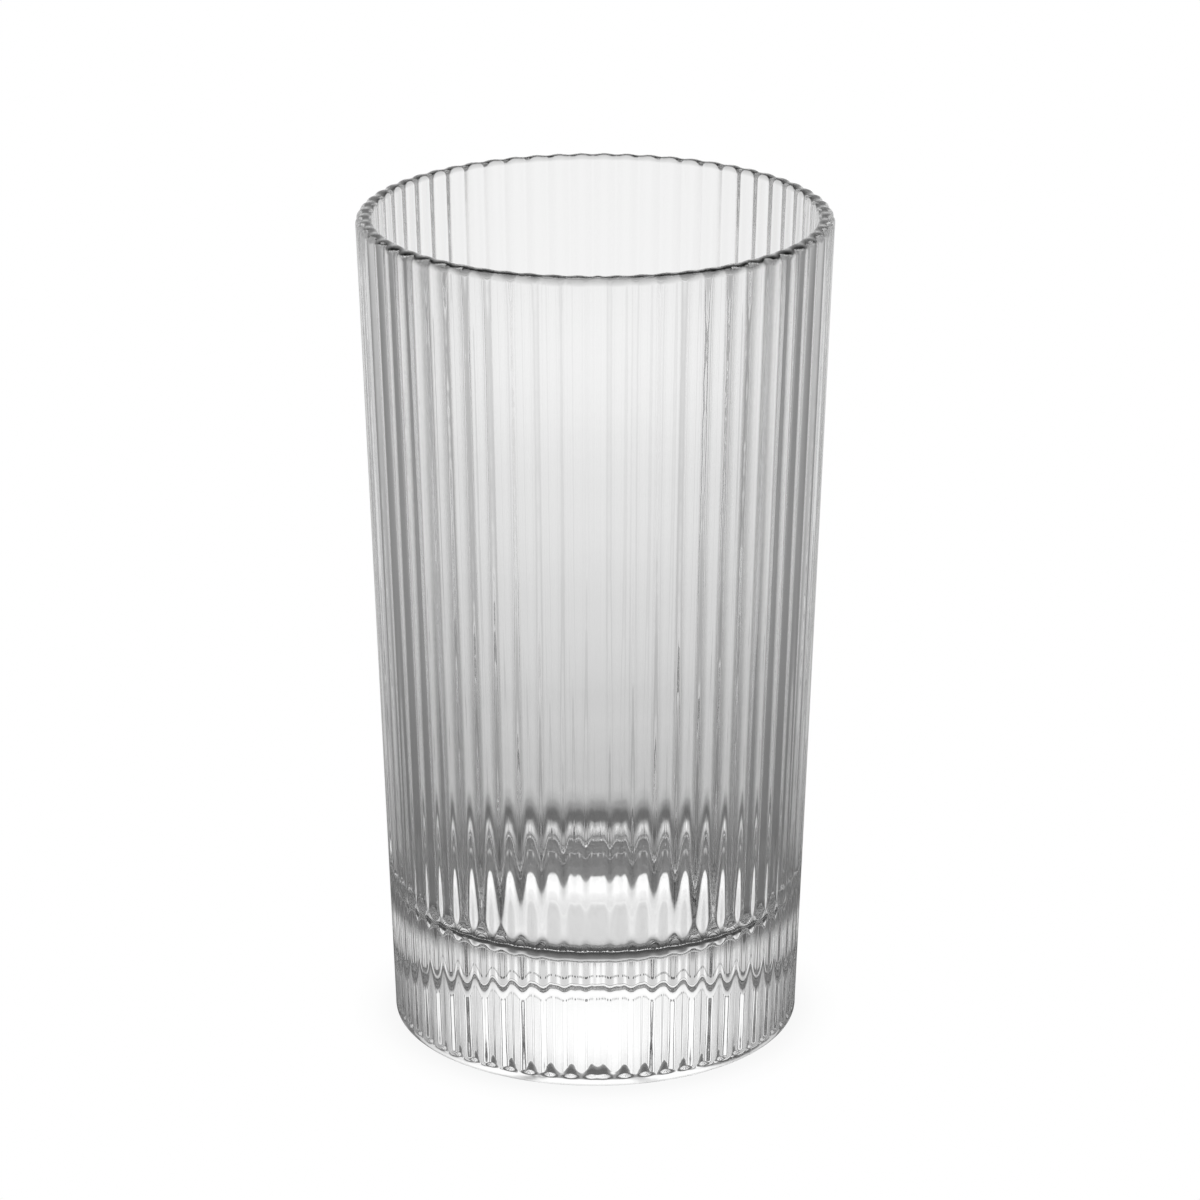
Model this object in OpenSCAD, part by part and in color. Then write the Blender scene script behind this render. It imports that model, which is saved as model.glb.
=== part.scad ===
// Tall pressed drinking glass: a wall that widens towards the mouth, upright ribs all round it,
// a smooth bore, a rounded lip and a heavy solid base. It is one piece of glass.
// It stands on its foot at z = 0, with the narrow rib of the mould seam towards -Y.
// All lengths are in millimetres and all angles in degrees.

/* [Overall] */
// Height from the table to the top of the lip
height = 144; // [100:1:200]
// Width across the rib crests at the lip
mouth_d = 80; // [66:1:110]
// Width across the rib crests at the foot
foot_d = 70; // [56:1:90]

/* [Drink space] */
// Glass between the rib crests and the bore at the lip
lip_wall = 2.8; // [2.6:0.1:4]
// Glass between the rib crests and the bore at the floor
floor_wall = 3; // [2.6:0.1:5]
// Solid glass from the table up to the floor of the drink space
base_h = 20.8; // [8:0.2:30]
// Radius of the fillet between the floor and the bore
floor_fillet = 8; // [2:0.5:12]

/* [Ribs] */
// Number of full ribs round the wall
rib_count = 60; // [50:1:70]
// Depth of the valleys between the ribs at the lip
rib_depth = 0.6; // [0.5:0.05:1]
// Width of the narrow rib on the mould seam, as a share of a full rib
seam_rib_share = 0.565; // [0.4:0.005:1]

/* [Edges] */
// Rounding of the lip on its outside
lip_outer_round = 1.4; // [0.6:0.1:1.5]
// Rounding of the lip on its inside
lip_inner_round = 1; // [0.6:0.1:1]
// Rounding of the foot where the wall turns under
foot_round = 1.3; // [0.8:0.1:2.5]
// Height of the smooth band at the foot, below the valleys
foot_band_h = 1.6; // [1.4:0.1:6]
// Height over which the valleys run out into that band
run_out_h = 0.8; // [0.5:0.1:5]

/* [Underside] */
// Width of the flat ring that the glass rests on, outside the shallow hollow under the base
rest_ring_w = 4.75; // [3:0.05:12]
// Depth of that hollow
hollow_depth = 0.3; // [0.2:0.1:3]
// How far the hollow's edge slopes in for each millimetre that it climbs
hollow_slope = 10; // [0.5:0.5:12]

/* [Hidden] */
$fn = 96;

// Glass as a drawing shows it: nearly clear, a little grey
glass_tint = [0.88, 0.91, 0.92, 0.7];
// How far a cutting or clipped shape runs past what it meets
overrun = 2;
// How far the outline levels off each rib crest
crest_land = 0.03;

mouth_r = mouth_d / 2;
foot_r = foot_d / 2;
bore_mouth_r = mouth_r - lip_wall;
bore_floor_r = foot_r + (mouth_r - foot_r) * base_h / height - floor_wall;
// How far the outside and the bore lean out from upright
lean = atan((mouth_r - foot_r) / height);
bore_lean = atan((bore_mouth_r - bore_floor_r) / (height - base_h));

// Angle taken up by a full rib and by the seam rib, which close the circle together
rib_pitch = 360 / (rib_count + seam_rib_share);
seam_pitch = rib_pitch * seam_rib_share;

// Radius across the rib crests at height z
function crest_r(z) = foot_r + (mouth_r - foot_r) * z / height;

// Radius of the bore at height z
function bore_r(z) = bore_floor_r + (bore_mouth_r - bore_floor_r) * (z - base_h) / (height - base_h);

// Share to which the ribs have shrunk at height z, which is 1 at the lip
function taper_share(z) = crest_r(z) / mouth_r;

// A rib's section at the lip is an arc. It runs over the crest and through the valleys on both sides.
crest_top_r = mouth_r + crest_land;
valley_r = mouth_r - rib_depth;
rib_half = rib_pitch / 2;
seam_half = seam_pitch / 2;
rib_centre_r = (crest_top_r * crest_top_r - valley_r * valley_r)
    / (2 * (crest_top_r - valley_r * cos(rib_half)));
rib_arc_r = crest_top_r - rib_centre_r;
// The seam rib has the same arc between its own two valleys, so its crest stands lower
seam_reach = valley_r * sin(seam_half);
seam_centre_r = valley_r * cos(seam_half) - sqrt(rib_arc_r * rib_arc_r - seam_reach * seam_reach);
// The plain cone that backs the ribs, with its side between the valleys and the bore
core_r = valley_r - rib_depth;

// Centres of the rounded edges
foot_edge = [foot_r + foot_round * tan(lean) - foot_round / cos(lean), foot_round];
outer_lip = [crest_r(height - lip_outer_round) - lip_outer_round / cos(lean), height - lip_outer_round];
inner_lip = [bore_r(height - lip_inner_round) + lip_inner_round / cos(bore_lean), height - lip_inner_round];
floor_edge = [bore_r(base_h + floor_fillet) - floor_fillet / cos(bore_lean), base_h + floor_fillet];

// The hollow starts where the flat ring ends
hollow_r = foot_edge.x - rest_ring_w;

// Point where a rounded edge meets the outside, which leans by angle a
function side_point(centre, r, a) = centre + [r * cos(a), -r * sin(a)];

// Point where the lip's inner edge meets the bore
function bore_point(centre, r, a) = centre + [-r * cos(a), r * sin(a)];

// A round edge of the outline
module edge_disc(centre, r) {
    translate(centre) circle(r = r);
}

// Half section of the glass without valleys, with its lip, foot and floor rounded
module glass_outline() {
    difference() {
        union() {
            polygon([
                [0, 0],
                [foot_edge.x, 0],
                side_point(foot_edge, foot_round, lean),
                side_point(outer_lip, lip_outer_round, lean),
                [outer_lip.x, height],
                [inner_lip.x, height],
                bore_point(inner_lip, lip_inner_round, bore_lean),
                side_point(floor_edge, floor_fillet, bore_lean),
                [floor_edge.x, base_h],
                [0, base_h]
            ]);
            edge_disc(foot_edge, foot_round);
            edge_disc(outer_lip, lip_outer_round);
            edge_disc(inner_lip, lip_inner_round);
        }
        edge_disc(floor_edge, floor_fillet);
        underside_hollow();
    }
}

// Section of the shallow hollow under the base: a flat ceiling with a sloping edge
module underside_hollow() {
    polygon([
        [0, -overrun],
        [hollow_r + overrun * hollow_slope, -overrun],
        [hollow_r - hollow_depth * hollow_slope, hollow_depth],
        [0, hollow_depth]
    ]);
}

// The whole wall and base turned from their half section, without valleys
module turned_body() {
    rotate_extrude() glass_outline();
}

// One tapering rib: an arc of radius arc_r round an axis at centre_r, both measured at the lip
module rib(centre_r, arc_r) {
    low_share = taper_share(-overrun);
    high_share = taper_share(height + overrun);
    climb = height + 2 * overrun;
    drift = centre_r * (high_share - low_share);
    translate([centre_r * low_share, 0, -overrun])
        rotate([0, atan(drift / climb), 0])
            cylinder(h = norm([climb, drift]), r1 = arc_r * low_share, r2 = arc_r * high_share);
}

// All the ribs round the axis: the seam rib towards -Y, then the full ribs from its edge on
module ribs() {
    rotate([0, 0, -90]) {
        rib(seam_centre_r, rib_arc_r);
        for (i = [0 : rib_count - 1])
            rotate([0, 0, seam_half + rib_half + i * rib_pitch])
                rib(rib_centre_r, rib_arc_r);
    }
}

// The plain cone behind the ribs
module core() {
    translate([0, 0, -overrun])
        cylinder(
            h = height + 2 * overrun,
            r1 = core_r * taper_share(-overrun),
            r2 = core_r * taper_share(height + overrun)
        );
}

// The smooth band at the foot, whose top slopes in to the valleys' floor and a little past it
module foot_band() {
    top = foot_band_h + 2 * run_out_h;
    rotate_extrude() polygon([
        [0, -overrun],
        [foot_r + rib_depth, -overrun],
        [crest_r(foot_band_h) + rib_depth, foot_band_h - run_out_h],
        [crest_r(top) - 2 * rib_depth, top],
        [0, top]
    ]);
}

// The glass: its turned body, kept only where ribs, core or foot band fill it
module tumbler() {
    color(glass_tint) intersection() {
        turned_body();
        union() {
            core();
            ribs();
            foot_band();
        }
    }
}

tumbler();
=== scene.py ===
"""Looks of a tall pressed drinking glass: its ribbed body, its clear glass and a bright plain studio."""

import logging
import math
from collections.abc import Callable
from dataclasses import dataclass, field
from enum import Enum

import bmesh
import bpy
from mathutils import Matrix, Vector


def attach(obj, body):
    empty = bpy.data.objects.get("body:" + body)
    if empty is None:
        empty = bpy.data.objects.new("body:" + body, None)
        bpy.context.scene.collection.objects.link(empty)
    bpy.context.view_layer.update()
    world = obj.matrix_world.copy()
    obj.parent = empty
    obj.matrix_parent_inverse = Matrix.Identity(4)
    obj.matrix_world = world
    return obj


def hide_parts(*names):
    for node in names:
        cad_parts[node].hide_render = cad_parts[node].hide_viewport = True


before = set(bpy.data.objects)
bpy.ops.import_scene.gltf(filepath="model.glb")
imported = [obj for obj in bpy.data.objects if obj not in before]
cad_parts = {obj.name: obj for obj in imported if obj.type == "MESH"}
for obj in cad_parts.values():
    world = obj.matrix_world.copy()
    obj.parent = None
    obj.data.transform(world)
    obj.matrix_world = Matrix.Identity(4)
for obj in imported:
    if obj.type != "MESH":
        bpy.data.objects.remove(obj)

log = logging.getLogger("tumbler")

MM = 0.001
TUMBLER_NODE = "tumbler"
RIGHT = math.pi / 2
HALF_TURN = 180
WHITE = (1, 1, 1, 1)
SMALLEST_GAP = 0.001 * MM
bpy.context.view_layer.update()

Point = tuple[float, float]
Profile = tuple[tuple[float, float], ...]
Colour = tuple[float, float, float, float]
Socket = bpy.types.NodeSocket


class Zone(Enum):
    """Which part of the half section a point belongs to."""

    UNDERSIDE = "underside"
    FOOT = "foot"
    WALL = "wall"
    LIP = "lip"
    BORE = "bore"
    FLOOR = "floor"


@dataclass(frozen=True)
class SectionPoint:
    """One point of the half section.

    Args:
        radius: distance from the axis.
        height: height above the table.
        zone: the part of the section that it belongs to.
    """

    radius: float
    height: float
    zone: Zone


@dataclass(frozen=True)
class RibColumn:
    """How one upright line of a rib stands.

    Args:
        crisp: its radius as a share of the crest's, on a rib that is a plain arc.
        soft: the same on a soft wave between the same crests and valleys.
        swell: how near to the crest it is, from 0 in the valley to 1.
    """

    crisp: float
    soft: float
    swell: float


def only_object(piece: bpy.types.Object) -> None:
    """Makes piece the only selected object and the active one."""
    bpy.ops.object.select_all(action="DESELECT")
    piece.select_set(True)
    bpy.context.view_layer.objects.active = piece


def start_vertex(name: str) -> None:
    """Starts a new piece as a single vertex on the table at the axis, in edit mode and selected."""
    bpy.ops.object.select_all(action="DESELECT")
    bpy.ops.mesh.primitive_plane_add(size=MM, location=(0, 0, 0))
    bpy.context.object.name = name
    bpy.ops.object.mode_set(mode="EDIT")
    bpy.ops.mesh.select_all(action="SELECT")
    bpy.ops.mesh.merge(type="CENTER")
    bpy.ops.mesh.select_mode(type="VERT")


def smooth_step(share: float) -> float:
    """Share clamped to 0 to 1 and eased at both ends."""
    climb = min(1.0, max(0.0, share))
    return climb * climb * (3 - 2 * climb)


def arc(centre: Point, radius: float, start: float, end: float, steps: int) -> list[Point]:
    """Points along an arc in the half section.

    Args:
        centre: the arc's centre as distance from the axis and height.
        radius: the arc's radius.
        start: angle of the first point in radians, with 0 pointing away from the axis.
        end: angle of the last point.
        steps: number of equal steps.

    Returns:
        The points, both ends included.
    """
    turns = [start + (end - start) * i / steps for i in range(steps + 1)]
    return [(centre[0] + radius * math.cos(t), centre[1] + radius * math.sin(t)) for t in turns]


def between(low: float, high: float, steps: int) -> list[float]:
    """Equal steps between two values, both ends left out."""
    return [low + (high - low) * i / steps for i in range(1, steps)]


@dataclass
class PressedTumbler:
    """The glass itself, one closed body: a rib with its slice of wall and base, copied all round.

    All sizes are in metres. Those down to hollow_slope match the CAD part.

    Args:
        rib_columns: steps across a full rib.
        seam_columns: steps across the narrow rib on the mould seam.
        lip_bead_share: share of the valleys' depth that is left on the very top of the lip.
        lip_dip: how far the lip dips at each valley.
        lip_depth_share: share of the valleys' depth that is left near the lip.
        foot_softness: how far the ribs are a soft wave low on the wall, from 0 to 1.
        lip_softness: the same near the lip.
        soft_from: height where the ribs start to get crisper.
        soft_to: height from which they stay as they are near the lip.
    """

    height: float = 144 * MM
    mouth_r: float = 40 * MM
    foot_r: float = 35 * MM
    lip_wall: float = 2.8 * MM
    floor_wall: float = 3.0 * MM
    base_h: float = 20.8 * MM
    floor_fillet: float = 8 * MM
    rib_depth: float = 0.6 * MM
    rib_count: int = 60
    seam_rib_share: float = 0.565
    lip_outer_round: float = 1.4 * MM
    lip_inner_round: float = 1.0 * MM
    foot_round: float = 1.3 * MM
    foot_band_h: float = 1.6 * MM
    run_out_h: float = 0.8 * MM
    rest_ring_w: float = 4.75 * MM
    hollow_depth: float = 0.3 * MM
    hollow_slope: float = 10.0
    rib_columns: int = 16
    seam_columns: int = 9
    lip_bead_share: float = 0.35
    lip_dip: float = 0.14 * MM
    lip_depth_share: float = 0.88
    foot_softness: float = 0.9
    lip_softness: float = 0.45
    soft_from: float = 40 * MM
    soft_to: float = 95 * MM
    wall_rings: int = 12
    round_steps: int = 7
    fillet_steps: int = 16
    run_out_steps: int = 5
    section: list[SectionPoint] = field(default_factory=list)

    @property
    def rib_pitch(self) -> float:
        """Angle that a full rib takes up."""
        return math.tau / (self.rib_count + self.seam_rib_share)

    @property
    def seam_pitch(self) -> float:
        """Angle that the narrow rib on the mould seam takes up."""
        return self.rib_pitch * self.seam_rib_share

    def crest_r(self, z: float) -> float:
        """Radius across the rib crests at height z, before any rounding."""
        return self.foot_r + (self.mouth_r - self.foot_r) * z / self.height

    def bore_r(self, z: float) -> float:
        """Radius of the bore at height z, before any rounding."""
        low = self.crest_r(self.base_h) - self.floor_wall
        high = self.mouth_r - self.lip_wall
        return low + (high - low) * (z - self.base_h) / (self.height - self.base_h)

    def draw_section(self) -> list[SectionPoint]:
        """Works out the half section.

        Returns:
            Its points, from the axis under the base round to the axis on the floor.
        """
        lean = math.atan((self.mouth_r - self.foot_r) / self.height)
        bore_rise = self.height - self.base_h
        bore_lean = math.atan((self.bore_r(self.height) - self.bore_r(self.base_h)) / bore_rise)

        r = self.foot_round
        foot_centre = (self.crest_r(r) - r / math.cos(lean), r)
        r = self.lip_outer_round
        outer_centre = (self.crest_r(self.height - r) - r / math.cos(lean), self.height - r)
        r = self.lip_inner_round
        inner_centre = (self.bore_r(self.height - r) + r / math.cos(bore_lean), self.height - r)
        r = self.floor_fillet
        fillet_centre = (self.bore_r(self.base_h + r) - r / math.cos(bore_lean), self.base_h + r)

        foot = arc(foot_centre, self.foot_round, -RIGHT, -lean, self.round_steps)
        outer = arc(outer_centre, self.lip_outer_round, -lean, RIGHT, self.round_steps)
        inner = arc(inner_centre, self.lip_inner_round, RIGHT, math.pi - bore_lean, self.round_steps)
        fillet = arc(fillet_centre, self.floor_fillet, -bore_lean, -RIGHT, self.fillet_steps)

        valley_foot = self.foot_band_h + self.run_out_h
        run_out = between(self.foot_band_h, valley_foot, self.run_out_steps)
        wall = between(valley_foot, outer[0][1], self.wall_rings)
        bore = between(inner[-1][1], fillet[0][1], self.wall_rings)

        hollow_r = foot_centre[0] - self.rest_ring_w
        ceiling_r = hollow_r - self.hollow_depth * self.hollow_slope
        under = [(0.0, self.hollow_depth), (ceiling_r / 2, self.hollow_depth),
                 (ceiling_r, self.hollow_depth), (hollow_r, 0.0)]
        heights = [self.foot_band_h, *run_out, valley_foot, *wall]
        parts = {
            Zone.UNDERSIDE: under,
            Zone.FOOT: foot,
            Zone.WALL: [(self.crest_r(z), z) for z in heights],
            Zone.LIP: outer,
            Zone.BORE: inner + [(self.bore_r(z), z) for z in bore],
            Zone.FLOOR: fillet + [(fillet_centre[0] / 2, self.base_h), (0.0, self.base_h)],
        }
        return [SectionPoint(*place, zone) for zone, places in parts.items() for place in places]

    def rib_arc(self) -> Point:
        """A full rib's arc at the lip, as its centre's distance from the axis and its radius."""
        valley_r = self.mouth_r - self.rib_depth
        half = self.rib_pitch / 2
        centre_r = (self.mouth_r**2 - valley_r**2) / (2 * (self.mouth_r - valley_r * math.cos(half)))
        return centre_r, self.mouth_r - centre_r

    def seam_arc(self) -> Point:
        """The seam rib's arc at the lip: the same radius between its own, closer valleys."""
        valley_r = self.mouth_r - self.rib_depth
        half = self.seam_pitch / 2
        arc_r = self.rib_arc()[1]
        centre_r = valley_r * math.cos(half) - math.sqrt(arc_r**2 - (valley_r * math.sin(half))**2)
        return centre_r, arc_r

    def rib_column(self, rib: Point, angle: float, pitch: float) -> RibColumn:
        """Works out one upright line of a rib.

        Args:
            rib: the rib's arc.
            angle: angle from its crest.
            pitch: angle from valley to valley.

        Returns:
            How that line stands.
        """
        centre_r, arc_r = rib
        side = centre_r * math.sin(angle)
        round_r = centre_r * math.cos(angle) + math.sqrt(arc_r**2 - side**2)
        valley_r = self.mouth_r - self.rib_depth
        swell = (1 + math.cos(math.tau * angle / pitch)) / 2
        wave_r = valley_r + (centre_r + arc_r - valley_r) * swell
        return RibColumn(round_r / self.mouth_r, wave_r / self.mouth_r, swell)

    def valley_share(self, height: float) -> float:
        """How fully the valleys are cut at a height: 0 in the foot band and 1 above the run-out."""
        return smooth_step((height - self.foot_band_h) / self.run_out_h)

    def towards_lip(self, height: float, foot_value: float, lip_value: float) -> float:
        """Blends from a value low on the wall, where the glass is thick, to one near the lip."""
        climb = smooth_step((height - self.soft_from) / (self.soft_to - self.soft_from))
        return foot_value + (lip_value - foot_value) * climb

    def pressed_z(self, point: SectionPoint, column: RibColumn) -> float:
        """Height of a section point once the lip dips at the valleys."""
        if point.zone not in (Zone.LIP, Zone.BORE):
            return point.height
        climb = max(0.0, (point.height - self.height + self.lip_inner_round) / self.lip_inner_round)
        return point.height - self.lip_dip * climb * (1 - column.swell)

    def pressed_r(self, point: SectionPoint, column: RibColumn) -> float:
        """Radius of a section point once the ribs are pressed.

        Args:
            point: the point of the plain section.
            column: how the rib stands there.

        Returns:
            The radius, which never passes the plain section's.
        """
        if point.zone not in (Zone.WALL, Zone.LIP):
            return point.radius
        softness = self.towards_lip(point.height, self.foot_softness, self.lip_softness)
        share = column.crisp + softness * (column.soft - column.crisp)
        reach = self.towards_lip(point.height, 1.0, self.lip_depth_share)
        depth = self.crest_r(point.height) * reach * self.valley_share(point.height) * (1 - share)
        if point.zone is Zone.WALL:
            return point.radius - depth
        climb = max(0.0, (point.height - self.height + self.lip_outer_round) / self.lip_outer_round)
        fade = math.sqrt(max(0.0, 1 - climb * climb))
        return point.radius - depth * (self.lip_bead_share + (1 - self.lip_bead_share) * fade)

    def make_slice(self, name: str, rib: Point, columns: int, pitch: float,
                   start: float) -> bpy.types.Object:
        """Models one rib with the wall, lip and base behind it, as a slice between two valleys.

        Args:
            name: the slice's name.
            rib: the arc of its rib.
            columns: how many steps it has from valley to valley.
            pitch: angle that it takes up.
            start: angle of its first valley.

        Returns:
            The slice, left in edit mode.
        """
        start_vertex(name)
        across = (math.cos(start), math.sin(start))
        last = SectionPoint(0.0, 0.0, Zone.UNDERSIDE)
        for count, point in enumerate(self.section):
            growth = point.radius - last.radius
            move = (across[0] * growth, across[1] * growth, point.height - last.height)
            if count == 0:
                bpy.ops.transform.translate(value=move)
            else:
                bpy.ops.mesh.extrude_vertices_move(TRANSFORM_OT_translate={"value": move})
            last = point
        bpy.ops.mesh.select_all(action="SELECT")
        bpy.ops.mesh.spin(steps=columns, angle=-pitch, center=(0, 0, 0), axis=(0, 0, 1))
        piece = bpy.context.object
        for step in range(columns + 1):
            angle = pitch * step / columns
            column = self.rib_column(rib, angle - pitch / 2, pitch)
            self.press_column(piece, start + angle, pitch / columns, column)
        return piece

    def press_column(self, piece: bpy.types.Object, angle: float, width: float,
                     column: RibColumn) -> None:
        """Presses one upright column of the wall in to its rib's section.

        Args:
            piece: the slice, in edit mode.
            angle: where the column stands.
            width: angle from one column to the next.
            column: how the rib stands there.
        """
        mesh = bmesh.from_edit_mesh(piece.data)
        groups: dict[Point, list[int]] = {}
        for vert in mesh.verts:
            radius = math.hypot(vert.co.x, vert.co.y)
            turn = math.remainder(math.atan2(vert.co.y, vert.co.x) - angle, math.tau)
            if radius < MM or abs(turn) > width / 4:
                continue
            point = min(self.section, key=lambda p: abs(p.radius - radius) + abs(p.height - vert.co.z))
            scale = round(self.pressed_r(point, column) / point.radius, 7)
            sink = round(self.pressed_z(point, column) / point.height, 7) if point.height else 1.0
            if (scale, sink) != (1.0, 1.0):
                groups.setdefault((scale, sink), []).append(vert.index)
        for (scale, sink), indices in groups.items():
            bpy.ops.mesh.select_all(action="DESELECT")
            mesh = bmesh.from_edit_mesh(piece.data)
            mesh.verts.ensure_lookup_table()
            for index in indices:
                mesh.verts[index].select_set(True)
            bpy.ops.transform.resize(value=(scale, scale, sink), center_override=(0, 0, 0))

    def build(self) -> bpy.types.Object:
        """Models the glass.

        Returns:
            The finished mesh object.
        """
        self.section = self.draw_section()
        seam_start = -RIGHT - self.seam_pitch / 2
        seam = self.make_slice("seam_slice", self.seam_arc(), self.seam_columns, self.seam_pitch,
                               seam_start)
        bpy.ops.object.mode_set(mode="OBJECT")
        rib_start = seam_start + self.seam_pitch
        glass = self.make_slice("tumbler_glass", self.rib_arc(), self.rib_columns, self.rib_pitch,
                                rib_start)
        bpy.ops.mesh.select_all(action="SELECT")
        turns = self.rib_count - 1
        bpy.ops.mesh.spin(steps=turns, dupli=True, angle=-self.rib_pitch * turns,
                          center=(0, 0, 0), axis=(0, 0, 1))
        bpy.ops.object.mode_set(mode="OBJECT")
        only_object(glass)
        seam.select_set(True)
        bpy.ops.object.join()
        bpy.ops.object.mode_set(mode="EDIT")
        bpy.ops.mesh.select_all(action="SELECT")
        bpy.ops.mesh.remove_doubles(threshold=SMALLEST_GAP)
        bpy.ops.mesh.normals_make_consistent(inside=False)
        bpy.ops.object.mode_set(mode="OBJECT")
        bpy.ops.object.shade_smooth()
        return glass


@dataclass(frozen=True)
class ClearGlass:
    """Clear glass.

    Args:
        index: how strongly it bends light.
        tint: colour of what passes through it.
        wave_scale: how closely the mould's faint unevenness is spaced, in waves for each metre.
        wave_depth: how deep that unevenness is.
    """

    index: float = 1.5
    tint: Colour = (1.0, 1.0, 1.0, 1.0)
    wave_scale: float = 160.0
    wave_depth: float = 0.03 * MM

    def material(self) -> bpy.types.Material:
        """Builds the material.

        Returns:
            The finished material.
        """
        mat = bpy.data.materials.new("clear_glass")
        mat.use_nodes = True
        shader = mat.node_tree.nodes["Principled BSDF"]
        shader.inputs["Base Color"].default_value = self.tint
        shader.inputs["IOR"].default_value = self.index
        shader.inputs["Roughness"].default_value = 0.0
        shader.inputs["Transmission Weight"].default_value = 1.0
        place = mat.node_tree.nodes.new("ShaderNodeTexCoord")
        waves = mat.node_tree.nodes.new("ShaderNodeGroup")
        waves.node_tree = self.mould_waves()
        mat.node_tree.links.new(place.outputs["Object"], waves.inputs["Place"])
        mat.node_tree.links.new(waves.outputs["Normal"], shader.inputs["Normal"])
        return mat

    def mould_waves(self) -> bpy.types.NodeTree:
        """Builds the group that turns a place into the faint unevenness of pressed glass.

        Returns:
            The group, which puts out a normal.
        """
        group = bpy.data.node_groups.new("mould_waves", "ShaderNodeTree")
        group.interface.new_socket("Place", in_out="INPUT", socket_type="NodeSocketVector")
        group.interface.new_socket("Normal", in_out="OUTPUT", socket_type="NodeSocketVector")
        start = group.nodes.new("NodeGroupInput")
        noise = group.nodes.new("ShaderNodeTexNoise")
        noise.inputs["Scale"].default_value = self.wave_scale
        noise.inputs["Detail"].default_value = 2.0
        bump = group.nodes.new("ShaderNodeBump")
        bump.inputs["Strength"].default_value = 1.0
        bump.inputs["Distance"].default_value = self.wave_depth
        end = group.nodes.new("NodeGroupOutput")
        group.links.new(start.outputs["Place"], noise.inputs["Vector"])
        group.links.new(noise.outputs["Fac"], bump.inputs["Height"])
        group.links.new(bump.outputs["Normal"], end.inputs["Normal"])
        return group


@dataclass
class PhotoCamera:
    """The camera, at the photo's viewing angle and framing.

    Args:
        elevation: how steeply it looks down, in radians.
        azimuth: how far round from straight in front of the seam it stands.
        distance: how far it is from the point that it looks at.
        aim_height: height of that point.
        side_step: how far both are moved to the right.
        lens: focal length in millimetres.
        sensor: width of the sensor in millimetres.
    """

    elevation: float = math.radians(19.76)
    azimuth: float = math.radians(-0.68)
    distance: float = 858.3 * MM
    aim_height: float = 75.4 * MM
    side_step: float = 0.79 * MM
    lens: float = 150.5
    sensor: float = 36.0

    def build(self) -> bpy.types.Object:
        """Adds the camera and makes it the scene's own.

        Returns:
            The camera.
        """
        back = Vector((math.sin(self.azimuth) * math.cos(self.elevation),
                       -math.cos(self.azimuth) * math.cos(self.elevation),
                       math.sin(self.elevation)))
        right = Vector((math.cos(self.azimuth), math.sin(self.azimuth), 0))
        data = bpy.data.cameras.new("photo_camera")
        data.lens, data.sensor_width = self.lens, self.sensor
        data.clip_start, data.clip_end = 0.01, 100.0
        camera = bpy.data.objects.new("photo_camera", data)
        bpy.context.scene.collection.objects.link(camera)
        camera.location = Vector((0, 0, self.aim_height)) + back * self.distance + right * self.side_step
        camera.rotation_mode = "QUATERNION"
        camera.rotation_quaternion = (-back).to_track_quat("-Z", "Y")
        bpy.context.scene.camera = camera
        return camera


@dataclass(frozen=True)
class ShadePlan:
    """How pale the studio is behind the glass, beside it and in front of it.

    The place is a distance from the axis in millimetres on the floor and a height in degrees in the
    sky. On the floor the levels are painted light and shade; in the sky they are the world's light.
    Angles are counted in degrees from straight behind the glass.

    Args:
        back: pairs of place and level for what lies straight behind the glass.
        side: the same for what lies beside it.
        front: the same for what lies on the camera's side.
        side_turn: angles at which back ends and side begins.
        front_turn: angles at which side ends and front begins.
    """

    back: Profile
    side: Profile
    front: Profile
    side_turn: Point = (10, 56)
    front_turn: Point = (95, 150)


# Painted light and shade on the floor's glow, which the glass bends: a painted pool of light under the
# base, a painted shadow under and just behind the foot, and painted shade at the sides.
PAINTED_FLOOR_SHADE_PLAN = ShadePlan(
    back=((0, 0.65), (10, 0.7), (17, 1.1), (20, 1.35), (26, 1.35), (27.5, 0.06), (35.5, 0.06),
          (37.5, 0.75), (44, 0.75), (48, 0.4), (51, 0.12), (57, 0.12), (67, 0.33), (80, 0.52),
          (100, 0.58), (140, 0.64), (200, 0.72), (280, 0.8), (400, 0.92), (700, 0.9)),
    side=((0, 0.65), (10, 0.7), (17, 0.95), (21, 1.0), (26, 0.9), (29, 0.05), (35.5, 0.03),
          (38, 0.08), (48, 0.08), (66, 0.15), (90, 0.14), (140, 0.19), (200, 0.23), (280, 0.25),
          (400, 0.24), (700, 0.45)),
    front=((0, 0.65), (10, 0.65), (17, 0.5), (21, 0.2), (33, 0.06), (35.5, 0.06), (38, 0.7),
           (50, 0.5), (66, 0.25), (90, 0.1), (140, 0.4), (200, 0.58), (280, 0.7), (400, 0.78),
           (700, 0.8)),
)
SKY_PLAN = ShadePlan(
    back=((0, 0.97), (14, 1.05), (24, 1.1), (38, 1.0), (52, 0.5), (66, 0.46), (90, 0.6)),
    side=((0, 0.42), (14, 0.38), (24, 0.26), (36, 0.1), (52, 0.12), (66, 0.3), (90, 0.6)),
    front=((0, 0.2), (14, 0.05), (24, 0.02), (38, 0.03), (52, 0.1), (66, 0.3), (90, 0.6)),
)


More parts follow.
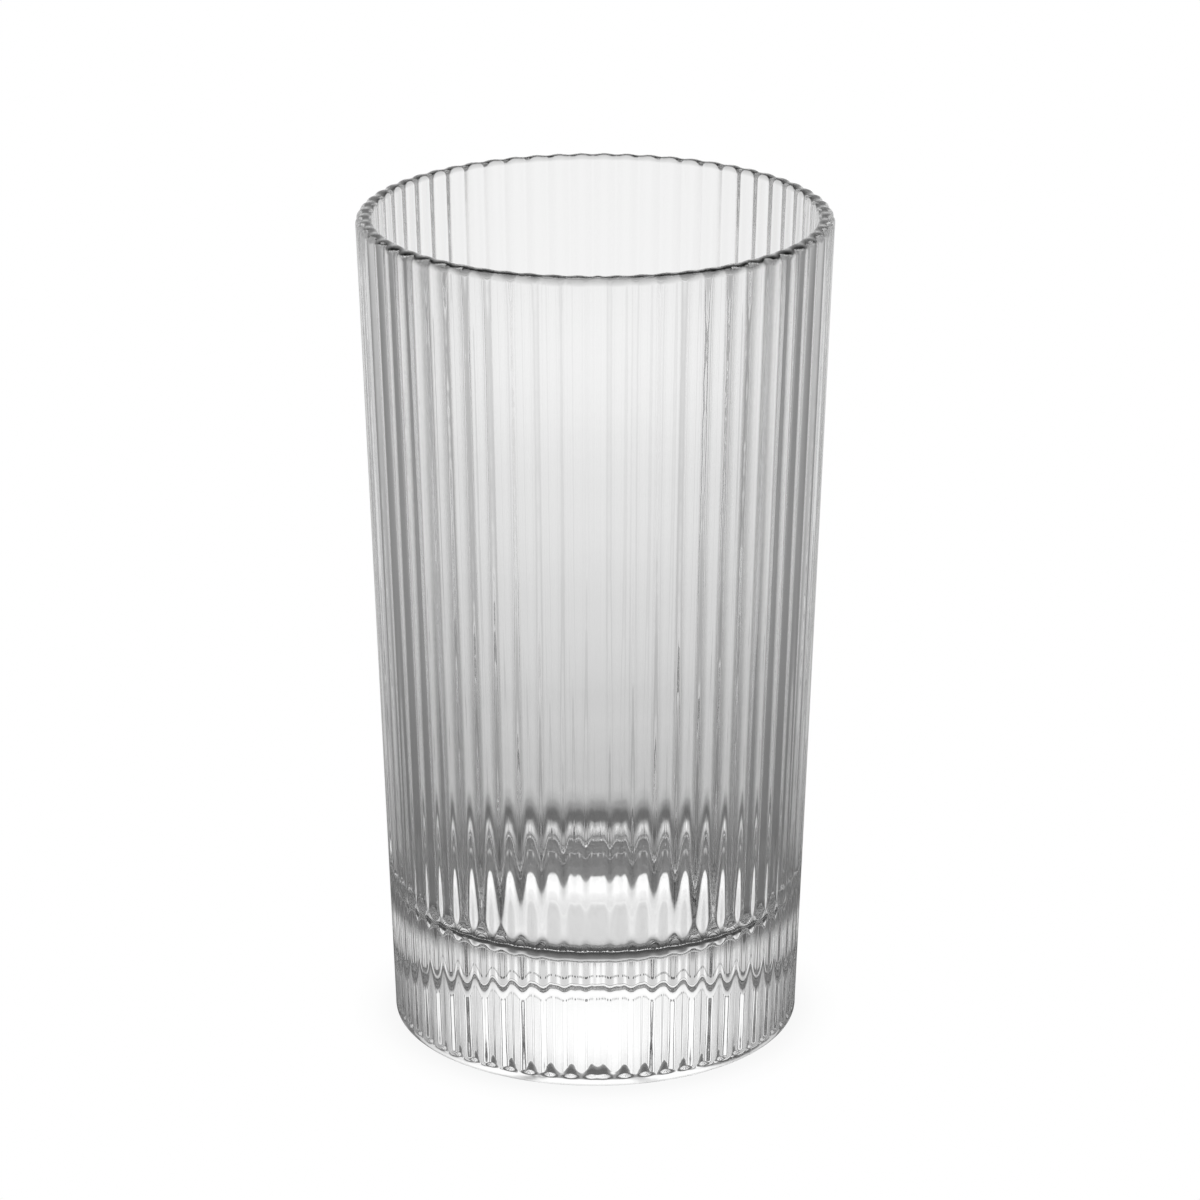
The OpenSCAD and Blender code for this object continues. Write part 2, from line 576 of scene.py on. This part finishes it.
class ShadeNodes:
    """Wires a shade plan into a node tree.

    Args:
        tree: the material's or the world's node tree, which is emptied.
    """

    # The places of a colour mix's two colours among its inputs and of its colour among its outputs
    LOW_COLOUR, HIGH_COLOUR, MIXED_COLOUR = 6, 7, 2

    def __init__(self, tree: bpy.types.NodeTree) -> None:
        tree.nodes.clear()
        self.nodes, self.links = tree.nodes, tree.links

    def feed(self, socket: Socket, value: Socket | Colour | float) -> None:
        """Links a value that is a socket to another socket, or sets it there."""
        if isinstance(value, Socket):
            self.links.new(value, socket)
        else:
            socket.default_value = value

    def math(self, kind: str, *values: float | Socket) -> Socket:
        """Adds a Math node and returns its result."""
        node = self.nodes.new("ShaderNodeMath")
        node.operation = kind
        for socket, value in zip(node.inputs, values):
            self.feed(socket, value)
        return node.outputs[0]

    def length(self, across: Socket, along: Socket) -> Socket:
        """Length of the flat line whose two sides are given."""
        squares = [self.math("MULTIPLY", side, side) for side in (across, along)]
        return self.math("SQRT", self.math("ADD", *squares))

    def directions(self, coordinates: str) -> tuple[Socket, Socket, Socket]:
        """Adds a Texture Coordinate node and returns the three parts of one of its outputs."""
        place = self.nodes.new("ShaderNodeTexCoord")
        split = self.nodes.new("ShaderNodeSeparateXYZ")
        self.links.new(place.outputs[coordinates], split.inputs["Vector"])
        return split.outputs["X"], split.outputs["Y"], split.outputs["Z"]

    def show(self, shader: str, result: str, output: str, grey: Socket, seen: Socket | Colour) -> None:
        """Ends the tree in a shader that gives out light.

        Args:
            shader: the kind of shader node.
            result: name of its output.
            output: the kind of output node.
            grey: what the glass sees.
            seen: what the camera sees.
        """
        rays = self.nodes.new("ShaderNodeLightPath")
        glow = self.nodes.new(shader)
        self.links.new(self.mix(rays.outputs["Is Camera Ray"], grey, seen), glow.inputs["Color"])
        end = self.nodes.new(output)
        self.links.new(glow.outputs[result], end.inputs["Surface"])

    def ramp(self, place: Socket, stops: Profile) -> Socket:
        """Adds a ramp of greys whose stops are pairs of place and level."""
        node = self.nodes.new("ShaderNodeValToRGB")
        node.color_ramp.interpolation = "EASE"
        elements = node.color_ramp.elements
        elements.remove(elements[1])
        for count, (where, level) in enumerate(stops):
            stop = elements[0] if count == 0 else elements.new(where)
            stop.position = where
            stop.color = (level, level, level, 1)
        self.links.new(place, node.inputs["Fac"])
        return node.outputs["Color"]

    def mix(self, share: Socket, low: Socket | Colour, high: Socket | Colour) -> Socket:
        """Adds a colour mix from low to high."""
        node = self.nodes.new("ShaderNodeMix")
        node.data_type = "RGBA"
        self.links.new(share, node.inputs["Factor"])
        self.feed(node.inputs[self.LOW_COLOUR], low)
        self.feed(node.inputs[self.HIGH_COLOUR], high)
        return node.outputs[self.MIXED_COLOUR]

    def around(self, x: Socket, y: Socket) -> Socket:
        """Angle from straight behind the glass, as a share of the half turn to straight in front."""
        turn = self.math("ARCTAN2", self.math("ABSOLUTE", x), y)
        return self.math("DIVIDE", turn, math.pi)

    def shade(self, place: Socket, turn: Socket, plan: ShadePlan,
              share_of: Callable[[float], float]) -> Socket:
        """Grey of the plan at a place.

        Args:
            place: how far out or how high up, from 0 to 1.
            turn: angle from straight behind, as a share of a half turn.
            plan: the levels.
            share_of: turns a place of the plan into a share from 0 to 1.

        Returns:
            The grey.
        """
        back, side, front = (self.ramp(place, tuple((share_of(stop), level) for stop, level in profile))
                             for profile in (plan.back, plan.side, plan.front))
        beside, before = (self.ramp(turn, ((start / HALF_TURN, 0), (end / HALF_TURN, 1)))
                          for start, end in (plan.side_turn, plan.front_turn))
        return self.mix(before, self.mix(beside, back, side), front)


@dataclass
class Studio:
    """A plain white floor and backdrop.

    The camera sees them white, apart from a painted shadow on the floor round the foot. The world
    lights the glass from a shaded studio: pale behind, dimmer at the sides, as white paper with dark
    cards beside it would be. The floor's glow, which the glass bends, is painted light and shade: a
    painted pool of light under the base, a painted light spot behind it, a painted shadow close round
    the foot and painted shade at the sides.

    Args:
        floor_size: length of the floor's sides.
        floor_drop: how far the floor lies below the foot.
        half_reach: distance from the axis at which the floor's plan is half way along its ramps.
        painted_light_spot_y: how far behind the axis a painted light spot lies on the floor.
        painted_light_spot_from: radius out to which the painted light spot is full.
        painted_light_spot_to: radius at which it ends.
        painted_light_spot_grey: its colour, brighter than white.
        painted_shadow_from: distance from the axis out to which the floor's painted shadow is full.
        painted_shadow_to: distance at which it ends.
        painted_shadow_grey: its colour.
        through_bounces: how many times light may pass through glass.
        mirror_bounces: how many times it may be mirrored.
        all_bounces: how many times it may do either.
    """

    floor_size: float = 60.0
    floor_drop: float = 0.1 * MM
    half_reach: float = 0.1
    # Painted light spot on the floor behind the glass
    painted_light_spot_y: float = 41 * MM
    painted_light_spot_from: float = 3 * MM
    painted_light_spot_to: float = 6 * MM
    painted_light_spot_grey: Colour = (1.1, 1.1, 1.1, 1)
    # Painted shadow on the floor round the foot, seen by the camera
    painted_shadow_from: float = 34 * MM
    painted_shadow_to: float = 42 * MM
    painted_shadow_grey: Colour = (0.93, 0.93, 0.93, 1)
    through_bounces: int = 24
    mirror_bounces: int = 16
    all_bounces: int = 32

    def build(self) -> None:
        """Adds the floor, sets the world and lets light pass the glass's many walls."""
        self.build_floor()
        self.build_world()
        cycles = bpy.context.scene.cycles
        cycles.transmission_bounces = self.through_bounces
        cycles.glossy_bounces = self.mirror_bounces
        cycles.max_bounces = self.all_bounces

    def floor_share(self, place: float) -> float:
        """Share along the floor's ramps of a place given in millimetres from the axis."""
        return place * MM / (place * MM + self.half_reach)

    def build_floor(self) -> None:
        """Adds the floor, just below the foot so that the two never coincide."""
        bpy.ops.object.select_all(action="DESELECT")
        bpy.ops.mesh.primitive_plane_add(size=self.floor_size, location=(0, 0, -self.floor_drop))
        floor = bpy.context.object
        floor.name = "studio_floor"
        mat = bpy.data.materials.new("studio_floor")
        mat.use_nodes = True
        wires = ShadeNodes(mat.node_tree)
        x, y, _ = wires.directions("Object")
        reach = wires.length(x, y)
        place = wires.math("DIVIDE", reach, wires.math("ADD", reach, self.half_reach))
        # Painted light and shade of the floor plan, for every ray but the camera's.
        grey = wires.shade(place, wires.around(x, y), PAINTED_FLOOR_SHADE_PLAN, self.floor_share)
        # A painted light spot on the floor behind the glass, brighter than white.
        away = wires.length(x, wires.math("SUBTRACT", y, self.painted_light_spot_y))
        outside_painted_light_spot = wires.ramp(away, ((self.painted_light_spot_from, 0), (self.painted_light_spot_to, 1)))
        # A painted shadow on the floor round the foot, which only the camera sees.
        clear = wires.ramp(reach, ((self.painted_shadow_from, 0), (self.painted_shadow_to, 1)))
        wires.show("ShaderNodeEmission", "Emission", "ShaderNodeOutputMaterial",
                   wires.mix(outside_painted_light_spot, self.painted_light_spot_grey, grey), wires.mix(clear, self.painted_shadow_grey, WHITE))
        floor.data.materials.append(mat)

    def build_world(self) -> None:
        """Sets the world, which lights the glass and is its backdrop."""
        world = bpy.data.worlds.new("studio_light")
        bpy.context.scene.world = world
        world.use_nodes = True
        wires = ShadeNodes(world.node_tree)
        x, y, z = wires.directions("Generated")
        climb = wires.math("DIVIDE", wires.math("ARCSINE", z), RIGHT)
        grey = wires.shade(climb, wires.around(x, y), SKY_PLAN,
                           lambda degrees: math.radians(degrees) / RIGHT)
        wires.show("ShaderNodeBackground", "Background", "ShaderNodeOutputWorld", grey, WHITE)


def main() -> None:
    """Builds the glass, its studio and the camera."""
    logging.basicConfig(level=logging.INFO, format="%(name)s: %(message)s")
    piece = PressedTumbler().build()
    piece.data.materials.append(ClearGlass().material())
    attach(piece, "root")
    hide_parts(TUMBLER_NODE)
    log.info("%s: %d faces", piece.name, len(piece.data.polygons))
    Studio().build()
    log.info("studio: floor and world set")
    camera = PhotoCamera().build()
    log.info("%s: %.1f mm lens", camera.name, camera.data.lens)
    bpy.context.scene.view_settings.view_transform = "Standard"


if __name__ == "__main__":
    main()
